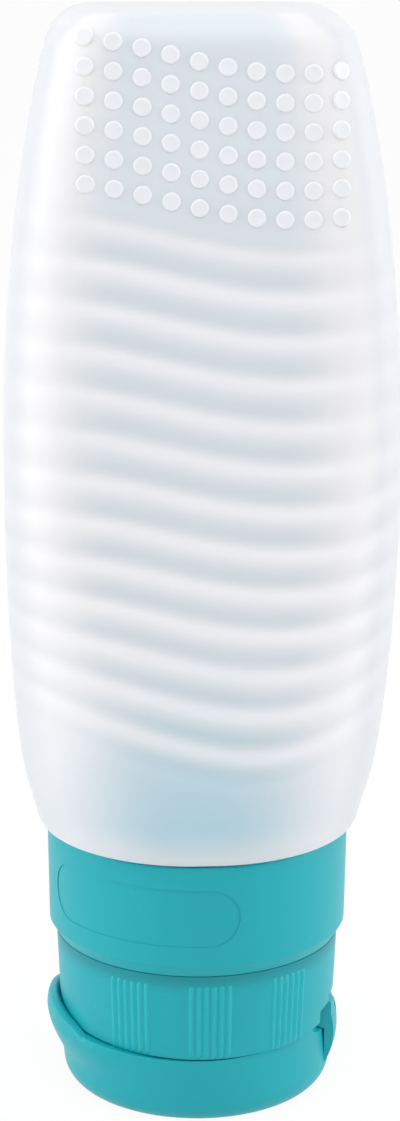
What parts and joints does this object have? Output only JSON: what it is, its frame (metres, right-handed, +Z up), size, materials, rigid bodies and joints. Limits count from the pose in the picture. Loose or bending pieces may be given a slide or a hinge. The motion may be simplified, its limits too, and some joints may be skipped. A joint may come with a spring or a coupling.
{
  "type": "travel silicone bottle",
  "caption": "Squeezable milky silicone travel bottle standing on a teal screw cap with a hinged flip lid, a thumb tab and a turning label ring.",
  "frame": {"origin": "on the cap's axis, at the closed lid's flat outer face, which the bottle stands on", "axes": "+Z up through lid, cap and neck to the bottle's base end; -Y to the flat front panel with its dots; thumb tab at -X, lid hinge at +X"},
  "size_m": [0.049, 0.0398, 0.1397],
  "materials": {
    "milky_silicone": "satin translucent",
    "teal_plastic": "satin",
    "seal_silicone": "satin translucent"
  },
  "bodies": {
    "bottle": {"bottle_body": "milky_silicone", "neck_insert": "teal_plastic", "neck_clamp": "teal_plastic"},
    "label_ring": {"collar_ring": "teal_plastic"},
    "mouth_seal": {"mouth_gasket": "seal_silicone"},
    "valve": {"orifice_valve": "seal_silicone", "valve_retainer": "teal_plastic"},
    "cap": {"cap_shell": "teal_plastic"},
    "lid": {"flip_lid": "teal_plastic"}
  },
  "joints": [
    {"name": "label_ring_turn", "type": "hinge", "parent": "bottle", "child": "label_ring", "pos_m": [0, 0, 0.0285], "axis": [0, 0, 1], "continuous": true},
    {"name": "cap_lift_off", "type": "slide", "parent": "bottle", "child": "mouth_seal", "axis": [0, 0, -1], "range_m": [0, 0.04]},
    {"name": "cap_rise", "type": "slide", "parent": "mouth_seal", "child": "valve", "axis": [0, 0, -1], "range_m": [0, 0.006]},
    {"name": "cap_turn", "type": "hinge", "parent": "valve", "child": "cap", "pos_m": [0, 0, 0.0155], "axis": [0, 0, -1], "range_deg": [0, 540]},
    {"name": "lid_flip", "type": "hinge", "parent": "cap", "child": "lid", "pos_m": [0.0164, 0, 0.0099], "axis": [0, -1, 0], "range_deg": [0, 105]}
  ],
  "couplings": [
    {"joint": "cap_rise", "follows": "cap_turn", "m_per_rad": 0.00063661}
  ]
}
